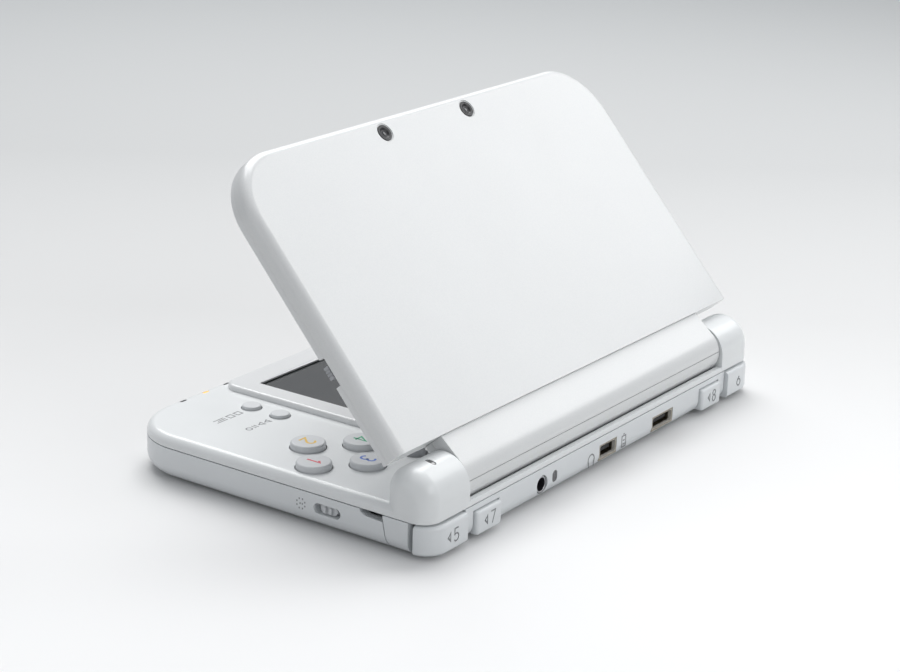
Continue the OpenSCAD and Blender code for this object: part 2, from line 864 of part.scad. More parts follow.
module direction_pad() {
    color([0.85, 0.86, 0.87]) base_part() translate([cross_x, cross_y, 0]) difference() {
        union() {
            translate([0, 0, flange_top - 1]) linear_extrude(deck_z + 1.4 - flange_top + 1)
                cross_outline(0);
            translate([0, 0, flange_top - 1.9]) cylinder(r = cross_l / 2 + 1, h = 0.91);
        }
        translate([0, 0, deck_z + 1 + 10]) sphere(r = 10, $fn = 96);
    }
}

module direction_pad_pivot() {
    color([0.7, 0.71, 0.72]) base_part()
        rod_z(2, cross_x, cross_y, [button_board_top + 0.15, flange_top - 2.15]);
}

module pointing_stick() {
    color([0.6, 0.61, 0.63]) base_part() translate([stick_x, stick_y, 0]) {
        translate([0, 0, flange_top - 0.6]) rotate_extrude()
            rounded_end(stick_r, deck_z + 1.6 - flange_top + 0.6, 1, 0);
        translate([0, 0, flange_top - 1.2]) cylinder(r = stick_r + 1.4, h = 0.7);
    }
}

module pointing_stick_base() {
    color([0.3, 0.3, 0.32]) base_part()
        rod_z(2, stick_x, stick_y, [button_board_top + 0.15, flange_top - 1.45]);
}

module side_switch() {
    color([0.85, 0.86, 0.87]) base_part() translate([0, switch_y, switch_z]) {
        translate([half_w - tray_in + 0.15 - 0.3, 0, 0]) rotate([90, 0, 90])
            linear_extrude(tray_in - 0.75) pill(5.2, switch_h - 0.5);
        for (y = [-0.9, 0.9]) {
            translate([half_w - 0.75, y - 0.3, -(switch_h - 1.2) / 2])
                cube([0.6, 0.6, switch_h - 1.2]);
        }
        translate([half_w - tray_in - 0.95, -5.6, -2]) cube([0.85, 11.2, 4]);
    }
}

// A corner button that wraps round the base's rear corner and turns on an upright pin
module shoulder_button() {
    h = shoulder_high - shoulder_low;
    reach = front_r + 1;
    difference() {
        union() {
            intersection() {
                translate([0, -reach, shoulder_low])
                    slab(body_w, body_d + trigger_proud + reach, h, front_r,
                         rear_r + trigger_proud, 1, 1);
                block([shoulder_x, half_w + 1], [body_d - shoulder_wrap, body_d + 3], [0, big]);
            }
            block([shoulder_x, pin_x + 2.2], [pin_y - 2.2, body_d - shoulder_wrap + 0.5],
                  [tray_z + 0.3, shoulder_high - 0.4]);
        }
        rod_z(pin_r + 0.08, pin_x, pin_y, [0, 20]);
    }
}

module shoulder_button_right() {
    color([0.93, 0.94, 0.95]) base_part() shoulder_button();
}

module shoulder_button_left() {
    color([0.93, 0.94, 0.95]) base_part() mirror([1, 0, 0]) shoulder_button();
}

// An inner button that slides into the rear wall, with a flange behind the wall
module trigger_button() {
    h = trigger_high - trigger_low;
    d = tray_in + trigger_proud + 0.9;
    translate([trigger_x, body_d + trigger_proud - d, trigger_low])
        slab(trigger_w, d, h, 0.9, 0.9, 0.7, 0.7);
    block([trigger_x - trigger_w / 2 - 0.8, trigger_x + trigger_w / 2 + 0.8],
          [body_d - tray_in - 1.7, body_d - tray_in - 0.7], [tray_z + 0.2, trigger_high + 0.1]);
}

module trigger_button_right() {
    color([0.93, 0.94, 0.95]) base_part() trigger_button();
}

module trigger_button_left() {
    color([0.93, 0.94, 0.95]) base_part() mirror([1, 0, 0]) trigger_button();
}

module shoulder_pins() {
    color([0.7, 0.71, 0.73]) base_part() shoulder_pin_places()
        translate([0, 0, pin_low]) cylinder(r = pin_r, h = case_z + 0.9 - pin_low);
}

// Small switches behind the four rear buttons
module shoulder_switches() {
    color([0.2, 0.2, 0.22]) base_part() both_sides() {
        rear_switch(half_w - 6.5, body_d - shoulder_wrap - 1.5);
        rear_switch(trigger_x, body_d - tray_in - 1.7 - trigger_travel - 0.1);
    }
}

module rear_switch(x, y) {
    block([x - 2.2, x + 2.2], [y - 3, y - 0.5], [tray_z, tray_z + 3.6]);
    rod_y(0.9, x, [y - 0.6, y], tray_z + 1.8);
}

// ---------------------------------------------------------------- ports and slots

module audio_jack() {
    color([0.2, 0.2, 0.22]) base_part() difference() {
        union() {
            block([jack_x - 3.3, jack_x + 3.3], [body_d - 0.4 - jack_l - 1, body_d - tray_in],
                  [tray_z, tray_z + 2 * (port_z - tray_z)]);
            rod_y(2.4, jack_x, [body_d - tray_in - 0.1, body_d - 0.4], port_z);
        }
        rod_y(jack_r, jack_x, [body_d - 0.4 - jack_l, body_d], port_z);
    }
}

// A flat connector: a metal shell open at the back with a contact tongue inside
module flat_port(x, w, h) {
    difference() {
        block([x - w / 2, x + w / 2], [body_d - charge_d, body_d - 0.1], [tray_z, tray_z + h]);
        block([x - w / 2 + port_wall, x + w / 2 - port_wall], [body_d - charge_d + 1, body_d],
              [tray_z + port_wall, tray_z + h - port_wall]);
    }
    block([x - w / 2 + 1.6, x + w / 2 - 1.6], [body_d - charge_d + 0.9, body_d - 1.4],
          [tray_z + h / 2 - 0.5, tray_z + h / 2 + 0.5]);
}

module charge_port() {
    color([0.7, 0.66, 0.58]) base_part() flat_port(charge_x, charge_w - 0.04, port_h);
}

module accessory_port() {
    color([0.7, 0.66, 0.58]) base_part() flat_port(accessory_x, accessory_w - 0.04, accessory_h);
}

module sensor_window() {
    color([0.2, 0.2, 0.22]) base_part() window_outline(body_d - tray_in - 0.6, tray_in + 0.4, 0.05);
}

module card_slot() {
    w = card_w + 1.6;
    color([0.25, 0.25, 0.27]) base_part() difference() {
        block([card_x - w / 2, card_x + w / 2], [tray_in + 0.05, card_d + 2.5],
              [tray_z, card_top + 0.4]);
        block([card_x - card_w / 2, card_x + card_w / 2], [0, card_d],
              [tray_z + card_floor, card_top]);
    }
}

module stylus() {
    color([0.9, 0.9, 0.91]) base_part() translate([stylus_x, stylus_front, stylus_z])
        rotate([-90, 0, 0]) {
            cylinder(r = stylus_r, h = stylus_l - 6);
            translate([0, 0, stylus_l - 6]) cylinder(r1 = stylus_r, r2 = 0.8, h = 5.5);
            translate([0, 0, stylus_l - 0.6]) sphere(r = 0.8);
        }
}

module stylus_sleeve() {
    color([0.3, 0.3, 0.32]) base_part() difference() {
        rod_y(sleeve_r, stylus_x, [tray_in + 0.05, stylus_front + stylus_l + 1.5], stylus_z);
        rod_y(stylus_r + 0.2, stylus_x, [0, stylus_front + stylus_l + 0.6], stylus_z);
    }
}

// ---------------------------------------------------------------- hinge

module hinge_shafts() {
    color([0.75, 0.76, 0.78]) base_part() {
        rod_x(shaft_r, [ear_inner - 12, half_w - 9.2], hinge_y, hinge_z);
        mirror([1, 0, 0]) difference() {
            rod_x(shaft_r, [ear_inner - 12, half_w - 9.2], hinge_y, hinge_z);
            rod_x(cable_r + 0.15, [0, half_w], hinge_y, hinge_z);
        }
    }
}

module display_cable() {
    color([0.55, 0.35, 0.15]) base_part() mirror([1, 0, 0])
        rod_x(cable_r, [ear_inner - 20, half_w - 9.6], hinge_y, hinge_z);
}

// Section of the barrel and of the neck that joins it to the lid plate
module barrel_section() {
    circle(barrel_r);
    polygon([
        [-lid_root, lid_low],
        [0, lid_low],
        [barrel_r * cos(98) * 0.995, barrel_r * sin(98) * 0.995],
        [-lid_root, lid_top - 0.8]
    ]);
}

// The part of the section that belongs to the rear cover
module rear_cover_region() {
    polygon([
        [-20, lid_seam],
        [0, lid_seam],
        [20, lid_seam + 3.9],
        [20, 20],
        [-20, 20]
    ]);
}

module barrel_bores() {
    both_sides() {
        rod_x(clutch_r + 0.05, [barrel_half - 22.6, barrel_half - 1.8], 0, 0);
        rod_x(shaft_r + 0.3, [0, barrel_half + 1], 0, 0);
    }
    rod_x(barrel_r - 1.3, [-(barrel_half - 24), barrel_half - 24], 0, 0);
}

module hinge_cover_rear() {
    color([0.9, 0.92, 0.92]) lid_part() difference() {
        section_x([-barrel_half, barrel_half]) intersection() {
            barrel_section();
            rear_cover_region();
        }
        barrel_bores();
    }
}

module hinge_cover_front() {
    color([0.9, 0.92, 0.92]) lid_part() difference() {
        section_x([-barrel_half, barrel_half]) difference() {
            barrel_section();
            rear_cover_region();
        }
        barrel_bores();
    }
}

// The friction clutch on the right and the plain bearing on the left, fixed in the barrel
module hinge_clutches() {
    color([0.6, 0.61, 0.63]) lid_part() both_sides() difference() {
        rod_x(clutch_r, [barrel_half - 22.5, barrel_half - 1.9], 0, 0);
        rod_x(shaft_r + running_gap, [0, barrel_half], 0, 0);
    }
}

// ---------------------------------------------------------------- lid

// The lid's outline drawn in by inset, from height z, up to h high; its root edge is cut square
module lid_slab(inset, z, h, top_r = 0, bottom_r = 0) {
    spare = 8;
    d = lid_reach - inset - lid_root + spare;
    intersection() {
        translate([0, -lid_reach + inset, z])
            slab(body_w - 2 * inset, d, h, lid_corner_r - inset, 4, top_r, bottom_r);
        block([-half_w, half_w], [-lid_reach, -lid_root], [-big, big]);
    }
}

module lid_hollow(inset, z, h) {
    intersection() {
        lid_slab(inset, z, h);
        block([-half_w, half_w], [-lid_reach, -lid_root - inset], [-big, big]);
    }
}

module lid_screw_places() {
    for (s = bumper_s) {
        both_sides() translate([bumper_x, -s, 0]) children();
    }
}

module camera_places() {
    both_sides() translate([camera_x, -camera_s, 0]) children();
}

module lid_cover() {
    color([0.93, 0.94, 0.94]) lid_part() difference() {
        union() {
            difference() {
                lid_slab(0, lid_seam, lid_cover_t, lid_edge_r, 0);
                lid_hollow(lid_in, lid_seam - 1, lid_cover_t - lid_skin + 1);
            }
            lid_screw_places() translate([0, 0, lid_seam + 0.2])
                cylinder(r = 2.4, h = lid_cover_t - lid_skin);
        }
        camera_places() {
            translate([0, 0, lid_seam]) cylinder(r = camera_r + 0.1, h = 10);
            translate([0, 0, lid_top - 0.25]) cylinder(r = camera_r + 0.5, h = 1);
        }
        lid_screw_places() translate([0, 0, lid_low]) cylinder(r = 0.9, h = lid_t - lid_skin - 0.3);
    }
}

module slider_notch() {
    block([half_w - slider_d, half_w + 1], [-slider_s - slider_l / 2, -slider_s + slider_l / 2],
          [lid_low - 1, lid_seam + 1]);
}

module glass_outline(grow) {
    w = top_screen_w + 2 * glass_edge + 2 * grow;
    d = top_screen_h + 2 * glass_edge + 2 * grow;
    translate([-w / 2, -screen_low + glass_edge + grow - d]) square([w, d]);
}

module lid_frame() {
    floor_top = lid_low + lid_skin;
    color([0.92, 0.93, 0.94]) lid_part() difference() {
        union() {
            difference() {
                union() {
                    lid_slab(0.3, lid_low, lid_t - lid_cover_t - seam_gap, 0, 0.8);
                    lid_slab(0.8, lid_low + 0.9, lid_t - lid_cover_t - 0.9);
                }
                lid_hollow(lid_in + 0.8, floor_top, 5);
            }
            lid_screw_places() translate([0, 0, lid_low + 0.2])
                cylinder(r = 2.4, h = lid_seam - lid_low);
            both_sides() block([half_w - slider_d - 1, half_w - slider_d + 0.1],
                [-slider_s - slider_l / 2 - 1, -slider_s + slider_l / 2 + 1],
                [lid_low + 0.2, lid_seam]);
        }
        translate([0, 0, lid_low - 1]) linear_extrude(glass_t + 1 + 0.05) glass_outline(0.15);
        block([-top_screen_w / 2, top_screen_w / 2],
              [-screen_low - top_screen_h, -screen_low], [lid_low - 1, lid_seam + 1]);
        both_sides() {
            slider_notch();
            speaker_holes();
        }
        translate([0, -camera_s, lid_low - 1]) cylinder(r = 1.9, h = 10);
        lid_screw_places() {
            translate([0, 0, lid_low - 1]) cylinder(r = 1, h = 10);
            translate([0, 0, lid_low - 1]) cylinder(r = 1.75, h = lid_skin + 1);
        }
    }
}

module speaker_holes() {
    for (row = [-2:2]) {
        translate([speaker_x, -speaker_s + 2.2 * row, lid_low - 1]) linear_extrude(5) pill(5, 0.9);
    }
}

module upper_display() {
    color([0.1, 0.1, 0.11]) lid_part()
        translate([0, 0, lid_low + lid_skin]) linear_extrude(2.4) glass_outline(0.5);
}

module screen_glass() {
    color([0.12, 0.12, 0.13]) lid_part()
        translate([0, 0, lid_low + 0.05]) linear_extrude(glass_t) glass_outline(0);
}

module outer_cameras() {
    color([0.12, 0.12, 0.13]) lid_part() camera_places() difference() {
        translate([0, 0, lid_seam + 1]) cylinder(r = camera_r, h = lid_cover_t - 1.1);
        translate([0, 0, lid_top - 0.6]) cylinder(r1 = camera_r * 0.45, r2 = camera_r * 0.8, h = 0.61);
    }
}

// Board behind the cameras, with the inner camera's barrel on it
module camera_board() {
    color([0.1, 0.4, 0.25]) lid_part() {
        block([-26, 26], [-camera_s - 3, -camera_s + 3.4], [lid_seam + 0.2, lid_seam + 1]);
        translate([0, -camera_s, lid_low + 0.15]) cylinder(r = 1.8, h = lid_t - lid_cover_t + 0.15);
    }
}

module speakers() {
    color([0.2, 0.2, 0.22]) lid_part() both_sides() {
        block([speaker_x - 5, speaker_x + 5], [-speaker_s - 9, -speaker_s + 9],
              [lid_low + lid_skin, lid_low + lid_skin + 3.2]);
    }
}

// The tab of a slider in the lid's rim, with grooves for the finger
module slider_tab() {
    difference() {
        block([half_w - slider_d + 0.3, half_w - 0.2], [-slider_s - 1.7, -slider_s + 1.7],
              [lid_low + 0.3, lid_seam - seam_gap - 0.2]);
        for (y = [-0.8, 0, 0.8]) {
            block([half_w - 0.5, half_w + 1], [-slider_s + y - 0.15, -slider_s + y + 0.15],
                  [lid_low, lid_seam]);
        }
    }
}

module depth_slider() {
    color([0.6, 0.61, 0.63]) lid_part() slider_tab();
}

module volume_slider() {
    color([0.6, 0.61, 0.63]) lid_part() mirror([1, 0, 0]) slider_tab();
}

module lid_bumpers() {
    color([0.8, 0.81, 0.82]) lid_part() lid_screw_places() {
        translate([0, 0, lid_low - bumper_h]) cylinder(r = bumper_r, h = bumper_h);
        translate([0, 0, lid_low - eps]) cylinder(r = 1.65, h = 0.35);
    }
}

module lid_screws() {
    seat = lid_low + lid_skin;
    color([0.55, 0.56, 0.58]) lid_part() lid_screw_places() {
        translate([0, 0, seat]) cylinder(r = 0.85, h = 3.6);
        screw_head(seat, 0.75);
    }
}

bottom_cover();
lower_case();
upper_case();
rubber_feet();
base_screws();
touch_frame();
touch_panel();
lower_display();
main_board();
shield_can();
battery();
button_boards();
button_mat();
action_button_right();
action_button_front();
action_button_left();
action_button_back();
select_button();
start_button();
home_button();
power_button();
circle_pad();
circle_pad_slide();
circle_pad_housing();
direction_pad();
direction_pad_pivot();
pointing_stick();
pointing_stick_base();
status_lights();
ear_light();
side_switch();
shoulder_button_right();
shoulder_button_left();
trigger_button_right();
trigger_button_left();
shoulder_pins();
shoulder_switches();
audio_jack();
charge_port();
accessory_port();
sensor_window();
card_slot();
stylus();
stylus_sleeve();
hinge_shafts();
display_cable();
lid_cover();
lid_frame();
hinge_cover_rear();
hinge_cover_front();
hinge_clutches();
upper_display();
screen_glass();
outer_cameras();
camera_board();
speakers();
depth_slider();
volume_slider();
lid_bumpers();
lid_screws();
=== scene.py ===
"""Looks of the clamshell handheld game console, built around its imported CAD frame.

Lengths are in metres in the row frame: +X to the device's right, +Y to the hinge, +Z up.
The lid stands 48.7 degrees open at rest.
"""

import json
import math

import bmesh
import bpy
from mathutils import Matrix, Vector


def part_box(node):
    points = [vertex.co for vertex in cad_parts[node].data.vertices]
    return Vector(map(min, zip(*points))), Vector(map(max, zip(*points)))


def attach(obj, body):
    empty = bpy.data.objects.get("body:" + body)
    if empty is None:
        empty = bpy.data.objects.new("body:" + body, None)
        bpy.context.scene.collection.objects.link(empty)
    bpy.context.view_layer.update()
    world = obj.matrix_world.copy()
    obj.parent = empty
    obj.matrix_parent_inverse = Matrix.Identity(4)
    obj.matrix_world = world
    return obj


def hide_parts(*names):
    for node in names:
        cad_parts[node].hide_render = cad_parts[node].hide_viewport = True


MM = 0.001
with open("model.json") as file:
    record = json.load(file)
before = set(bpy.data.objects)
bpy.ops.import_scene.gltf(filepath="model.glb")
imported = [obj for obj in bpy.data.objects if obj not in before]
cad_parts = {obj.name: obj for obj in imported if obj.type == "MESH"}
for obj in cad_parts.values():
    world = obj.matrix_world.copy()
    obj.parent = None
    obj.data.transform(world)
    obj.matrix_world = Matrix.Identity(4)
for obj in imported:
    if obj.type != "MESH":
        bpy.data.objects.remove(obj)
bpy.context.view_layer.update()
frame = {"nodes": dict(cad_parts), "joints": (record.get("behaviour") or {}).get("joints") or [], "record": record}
scene = bpy.context.scene
scene.view_settings.view_transform = "Standard"


# ------------------------------------------------------------------ places taken from the frame

def joint(name):
    """A joint's row in the frame."""
    return next(j for j in frame["joints"] if j["name"] == name)


HINGE = Vector(joint("lid_hinge")["pos_m"])
LID_OPEN = math.radians(-joint("lid_hinge")["range_deg"][0])
# Takes a point given with the lid closed, measured from the hinge axis, to its place at rest
LID = Matrix.Translation(HINGE) @ Matrix.Rotation(-LID_OPEN, 4, "X")

BACK_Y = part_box("upper_case")[1].y
SIDE_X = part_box("lower_case")[1].x
DECK_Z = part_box("touch_frame")[0].z
# Measured from the hinge axis with the lid closed: the outer cameras' places to the side, along the
# lid and up, and the height of the lid's inner face
CAMERA_X = 18.6 * MM
CAMERA_S = 87.5 * MM
CAMERA_TOP = 6.2 * MM
LID_INSIDE = -0.6 * MM
BARREL_R_MM = 6.7
# The one front lamp that is lit, and how far its window reaches to each side
LIT_LAMP_X = 48.5 * MM
LAMP_REACH = 3 * MM


# ------------------------------------------------------------------ materials

class Nodes:
    """A material's node tree, with short calls for the nodes used here."""

    def __init__(self, name):
        self.material = bpy.data.materials.new(name)
        self.material.use_nodes = True
        self.tree = self.material.node_tree
        self.shader = self.tree.nodes["Principled BSDF"]
        self.place = self.new("ShaderNodeTexCoord").outputs["Object"]

    def new(self, kind, **settings):
        """A new node of a kind, with its settings made."""
        node = self.tree.nodes.new(kind)
        for key, value in settings.items():
            setattr(node, key, value)
        return node

    def link(self, a, b):
        """Joins an output to an input."""
        self.tree.links.new(a, b)

    def scaled(self, scale):
        """The object's coordinates, scaled along each axis."""
        mapping = self.new("ShaderNodeMapping")
        mapping.inputs["Scale"].default_value = scale
        self.link(self.place, mapping.inputs["Vector"])
        return mapping.outputs["Vector"]

    def noise(self, size, detail=3.0, vector=None):
        """Noise with features about size across."""
        node = self.new("ShaderNodeTexNoise")
        node.inputs["Scale"].default_value = 1 / size
        node.inputs["Detail"].default_value = detail
        self.link(vector or self.place, node.inputs["Vector"])
        return node.outputs["Fac"]

    def cells(self, size):
        """A random colour for each cell of about size across."""
        node = self.new("ShaderNodeTexVoronoi")
        node.inputs["Scale"].default_value = 1 / size
        self.link(self.place, node.inputs["Vector"])
        return node.outputs["Color"]

    def ramp(self, factor, stops):
        """The factor turned into colours between (position, colour) stops."""
        node = self.new("ShaderNodeValToRGB")
        ramp = node.color_ramp
        while len(ramp.elements) < len(stops):
            ramp.elements.new(0.5)
        for element, (position, colour) in zip(ramp.elements, stops):
            element.position = position
            element.color = (*colour, 1)
        self.link(factor, node.inputs["Fac"])
        return node.outputs["Color"]

    def spread(self, factor, low, high):
        """The factor's 0 to 1 carried to low to high."""
        node = self.new("ShaderNodeMapRange")
        node.inputs["To Min"].default_value = low
        node.inputs["To Max"].default_value = high
        self.link(factor, node.inputs["Value"])
        return node.outputs["Result"]

    def bump(self, height, strength, distance):
        """Normals of a surface with the heights given."""
        node = self.new("ShaderNodeBump")
        node.inputs["Strength"].default_value = strength
        node.inputs["Distance"].default_value = distance
        self.link(height, node.inputs["Height"])
        return node.outputs["Normal"]

    def set(self, **sockets):
        """Sets the shader's sockets, named with _ for a space, to outputs, colours or numbers."""
        for key, value in sockets.items():
            socket = self.shader.inputs[key.replace("_", " ")]
            if isinstance(value, bpy.types.NodeSocket):
                self.link(value, socket)
            elif isinstance(value, tuple):
                socket.default_value = (*value, 1)
            else:
                socket.default_value = value


def tinted(colour, factor):
    """The colour made lighter or darker, and kept within 1."""
    return tuple(min(channel * factor, 1.0) for channel in colour)


def moulded_plastic(name, colour, roughness, grain=0.35 * MM, grain_depth=0.004 * MM, coat=0.0):
    """Moulded plastic: a fine even grain, faint flow clouds and slightly uneven gloss."""
    m = Nodes(name)
    clouds = m.noise(28 * MM, 4)
    m.set(Base_Color=m.ramp(clouds, [(0.3, tinted(colour, 0.975)), (0.7, tinted(colour, 1.015))]))
    m.set(Roughness=m.spread(m.noise(6 * MM, 5), roughness - 0.04, roughness + 0.05))
    m.set(Normal=m.bump(m.noise(grain, 2), 0.35, grain_depth))
    m.set(Coat_Weight=coat, Coat_Roughness=0.1, IOR=1.49)
    return m.material


def pearl_plastic(name, colour, roughness, coat):
    """Pearl lacquer: mica flakes that glint a little under a clear coat."""
    m = Nodes(name)
    flakes = m.cells(0.22 * MM)
    separate = m.new("ShaderNodeSeparateColor")
    m.link(flakes, separate.inputs["Color"])
    clouds = m.noise(35 * MM, 3)
    body = m.ramp(clouds, [(0.3, tinted(colour, 0.985)), (0.7, tinted(colour, 1.01))])
    glint = m.ramp(separate.outputs["Red"],
                   [(0.0, (0.93, 0.94, 0.95)), (0.85, (1.0, 1.0, 1.0)), (1.0, (1.0, 1.0, 1.0))])
    mix = m.new("ShaderNodeMix", data_type="RGBA", blend_type="MULTIPLY")
    mix.inputs["Factor"].default_value = 0.5
    m.link(body, mix.inputs["A"])
    m.link(glint, mix.inputs["B"])
    m.set(Base_Color=mix.outputs["Result"])
    m.set(Roughness=m.spread(separate.outputs["Green"], roughness - 0.06, roughness + 0.06))
    m.set(Normal=m.bump(m.noise(0.5 * MM, 2), 0.2, 0.003 * MM))
    m.set(Coat_Weight=coat, Coat_Roughness=0.14, IOR=1.5)
    return m.material


def rubbery(name, colour):
    """Matte rubber with a fine pitted grain."""
    m = Nodes(name)
    clouds = m.noise(3 * MM, 5)
    m.set(Base_Color=m.ramp(clouds, [(0.3, tinted(colour, 0.93)), (0.7, tinted(colour, 1.05))]))
    m.set(Roughness=m.spread(m.noise(0.8 * MM, 4), 0.56, 0.7))
    m.set(Normal=m.bump(m.noise(0.12 * MM, 3), 0.5, 0.012 * MM))
    return m.material


def metal(name, colour, roughness, brush=(1, 1, 1)):
    """Worked metal, with fine marks stretched along the axis whose scale is small."""
    m = Nodes(name)
    marks = m.noise(0.15 * MM, 4, m.scaled(brush))
    m.set(Base_Color=m.ramp(marks, [(0.3, tinted(colour, 0.85)), (0.7, tinted(colour, 1.08))]))
    m.set(Metallic=1.0)
    m.set(Roughness=m.spread(m.noise(2 * MM, 5), roughness - 0.05, roughness + 0.1))
    m.set(Normal=m.bump(marks, 0.25, 0.004 * MM))
    return m.material


def dark_glass(name, colour, roughness):
    """Glass over a black panel: faint smears in its gloss and no grain."""
    m = Nodes(name)
    clouds = m.noise(40 * MM, 2)
    m.set(Base_Color=m.ramp(clouds, [(0.3, tinted(colour, 0.94)), (0.7, tinted(colour, 1.06))]))
    m.set(Roughness=m.spread(m.noise(9 * MM, 6), max(roughness - 0.03, 0.02), roughness + 0.05))
    m.set(IOR=1.52, Coat_Weight=0.6, Coat_Roughness=0.03)
    return m.material


def circuit_board(name):
    """Green solder mask with its tracks showing through as paler lines."""
    m = Nodes(name)
    tracks = m.new("ShaderNodeTexBrick")
    tracks.inputs["Scale"].default_value = 1
    tracks.inputs["Color1"].default_value = (0.012, 0.13, 0.06, 1)
    tracks.inputs["Color2"].default_value = (0.016, 0.16, 0.075, 1)
    tracks.inputs["Mortar"].default_value = (0.03, 0.24, 0.11, 1)
    tracks.inputs["Mortar Size"].default_value = 0.18
    tracks.inputs["Brick Width"].default_value = 7
    tracks.inputs["Row Height"].default_value = 1.1
    m.link(m.scaled((1 / MM, 1 / MM, 1 / MM)), tracks.inputs["Vector"])
    m.set(Base_Color=tracks.outputs["Color"])
    m.set(Roughness=m.spread(m.noise(4 * MM, 3), 0.3, 0.42))
    m.set(Normal=m.bump(tracks.outputs["Fac"], 0.3, 0.02 * MM))
    return m.material


def glowing(name, colour, strength):
    """A lit lamp's lens."""
    m = Nodes(name)
    glow = m.ramp(m.noise(0.8 * MM, 2), [(0.3, tinted(colour, 0.9)), (0.7, tinted(colour, 1.1))])
    m.set(Base_Color=glow, Roughness=0.3)
    m.shader.inputs["Emission Color"].default_value = (*colour, 1)
    m.shader.inputs["Emission Strength"].default_value = strength
    return m.material


def ink_and_painted_shade(name, colour):
    """Printed ink, and the painted shade that lines cuts, a little uneven in tone and thickness."""
    m = Nodes(name)
    clouds = m.noise(0.25 * MM, 4)
    m.set(Base_Color=m.ramp(clouds, [(0.25, tinted(colour, 0.88)), (0.75, tinted(colour, 1.06))]))
    m.set(Roughness=0.42)
    m.set(Normal=m.bump(m.noise(0.15 * MM, 2), 0.3, 0.004 * MM))
    return m.material


# shell_white, deck_white and frame_white stand for one white plastic. deck_white is painted a little paler than
# shell_white, and frame_white a little darker than deck_white. This is painted light and shade that sets the
# deck's and the touch frame's tones against the sides.
MATERIALS = {
    "shell_white": moulded_plastic("shell_white", (0.76, 0.785, 0.80), 0.36, coat=0.35),
    "deck_white": moulded_plastic("deck_white", (0.80, 0.82, 0.825), 0.34, coat=0.35),
    "lid_white": pearl_plastic("lid_white", (0.75, 0.76, 0.76), 0.38, 0.5),
    "frame_white": moulded_plastic("frame_white", (0.77, 0.78, 0.785), 0.3, coat=0.5),
    "button_white": moulded_plastic("button_white", (0.66, 0.675, 0.69), 0.42, coat=0.1),
    "pad_grey": rubbery("pad_grey", (0.42, 0.43, 0.45)),
    "smoke_window": dark_glass("smoke_window", (0.09, 0.09, 0.095), 0.12),
    "lens_black": moulded_plastic("lens_black", (0.016, 0.016, 0.018), 0.34),
    "lower_screen": dark_glass("lower_screen", (0.017, 0.02, 0.022), 0.24),
    "upper_glass": dark_glass("upper_glass", (0.02, 0.021, 0.023), 0.07),
    "panel_dark": moulded_plastic("panel_dark", (0.03, 0.03, 0.034), 0.4),
    "board_green": circuit_board("board_green"),
    "shield_metal": metal("shield_metal", (0.62, 0.63, 0.65), 0.35, (1, 12, 1)),
    "steel": metal("steel", (0.6, 0.61, 0.63), 0.3),
    "port_metal": metal("port_metal", (0.42, 0.38, 0.31), 0.34, (1, 0.15, 1)),
    "black_plastic": moulded_plastic("black_plastic", (0.025, 0.025, 0.028), 0.45),
    "battery_black": moulded_plastic(
        "battery_black", (0.035, 0.036, 0.04), 0.5, grain=0.6 * MM, grain_depth=0.01 * MM),
    "mat_rubber": rubbery("mat_rubber", (0.36, 0.36, 0.35)),
    "foot_rubber": rubbery("foot_rubber", (0.5, 0.51, 0.52)),
    "light_amber": glowing("light_amber", (0.95, 0.5, 0.06), 0.8),
    "cable_brown": moulded_plastic("cable_brown", (0.24, 0.12, 0.035), 0.4),
    "stylus_white": moulded_plastic("stylus_white", (0.72, 0.73, 0.74), 0.38),
}
INK_GREY = ink_and_painted_shade("ink_grey", (0.25, 0.255, 0.265))
# Grey painted shade that lines the cut numerals and the barrel's seam
CUT_SHADE = ink_and_painted_shade("painted_cut_shade", (0.36, 0.37, 0.385))
INKS = {
    "red": ink_and_painted_shade("ink_red", (0.72, 0.05, 0.08)),
    "yellow": ink_and_painted_shade("ink_yellow", (0.80, 0.50, 0.03)),
    "blue": ink_and_painted_shade("ink_blue", (0.05, 0.16, 0.60)),
    "green": ink_and_painted_shade("ink_green", (0.02, 0.40, 0.20)),
}
PORT_LIP = moulded_plastic("port_lip", (0.62, 0.60, 0.55), 0.4)
GOLD = metal("contact_gold", (0.83, 0.62, 0.25), 0.25)
LENS_GLASS = dark_glass("lens_glass", (0.008, 0.009, 0.013), 0.03)

NODE_SLOT = {row["node"]: row["material_slot"] for row in frame["record"]["subparts"]}
NODE_BODY = {
    node: body for body, nodes in frame["record"]["behaviour"]["bodies"].items() for node in nodes
}


def paint(obj, material):
    """Gives the whole object one material."""
    obj.data.materials.clear()
    obj.data.materials.append(material)


def finish_of(node):
    """The material of the node's slot in the record."""
    return MATERIALS[NODE_SLOT[node]]


for node_name, node_obj in frame["nodes"].items():
    paint(node_obj, finish_of(node_name))


# ------------------------------------------------------------------ mesh helpers

def add_object(name, mesh, material, body):
    """A new piece that rides a body."""
    obj = bpy.data.objects.new(name, mesh)
    scene.collection.objects.link(obj)
    paint(obj, material)
    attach(obj, body)
    return obj


def smooth(mesh, angle=32):
    """Smooth shading, apart from edges sharper than the angle in degrees."""
    for face in mesh.polygons:
        face.use_smooth = True
    mesh.set_sharp_from_angle(angle=math.radians(angle))


def outward(mesh):
    """Turns a new mesh's faces outward."""
    shape = bmesh.new()
    shape.from_mesh(mesh)
    bmesh.ops.recalc_face_normals(shape, faces=shape.faces)
    shape.to_mesh(mesh)
    shape.free()


def even_normals(obj):
    """Keeps large flat faces evenly shaded up to their sharp edges."""
    even = obj.modifiers.new("even", "WEIGHTED_NORMAL")
    even.keep_sharp = True


# Corners closer than this are one
SAME_PLACE = 1e-6
# Faces within the first angle of one plane are merged, and edges over the second are softened
FLAT_ANGLE = math.radians(0.6)
EDGE_ANGLE = math.radians(38)


